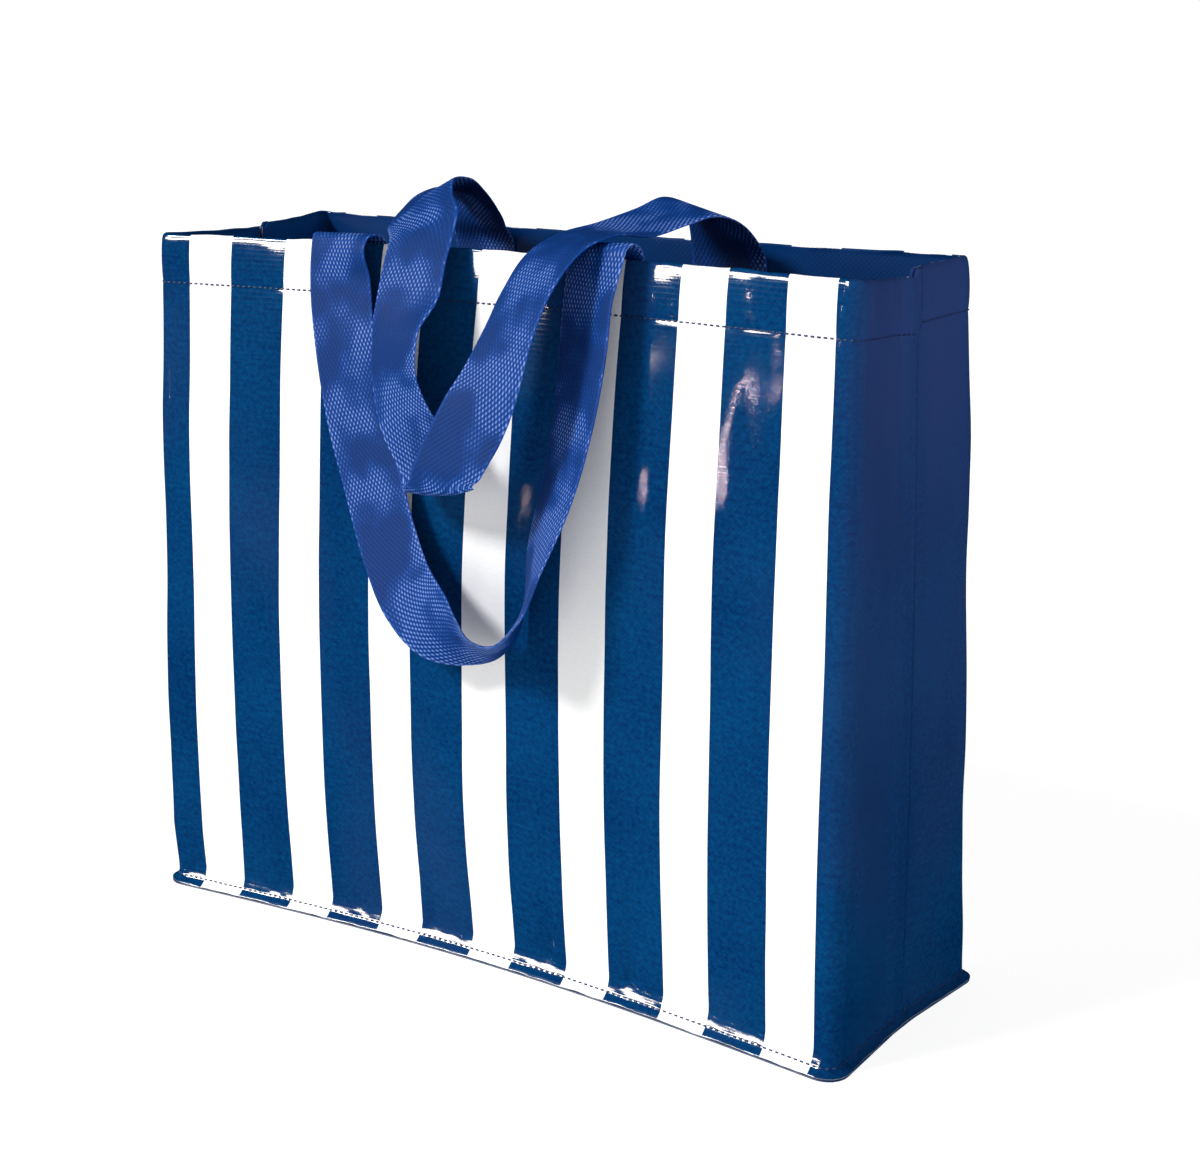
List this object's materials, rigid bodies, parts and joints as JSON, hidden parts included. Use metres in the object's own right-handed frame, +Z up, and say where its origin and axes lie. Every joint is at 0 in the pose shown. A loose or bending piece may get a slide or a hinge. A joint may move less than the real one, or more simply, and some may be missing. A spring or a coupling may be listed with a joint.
{
  "type": "carrier bag",
  "caption": "Open-topped woven plastic carrier bag with upright stripes, side gussets, a pinched base seam and webbing handles that hang over its front.",
  "frame": {"origin": "middle of the base, on the surface it stands on", "axes": "+Z up, -Y out of the front panel that the handles hang over, +X to the right of someone facing it"},
  "size_m": [0.4201, 0.1797, 0.3908],
  "materials": {
    "striped_film": "woven tape under a clear glossy film, blue and white stripes",
    "base_film": "woven tape under a clear glossy film, plain blue",
    "webbing": "coarse pebble-weave webbing, matt"
  },
  "bodies": {
    "root": {"front_panel": "striped_film", "back_panel": "striped_film", "base_panel": "base_film", "front_handle": "webbing", "back_handle": "webbing"}
  },
  "joints": []
}
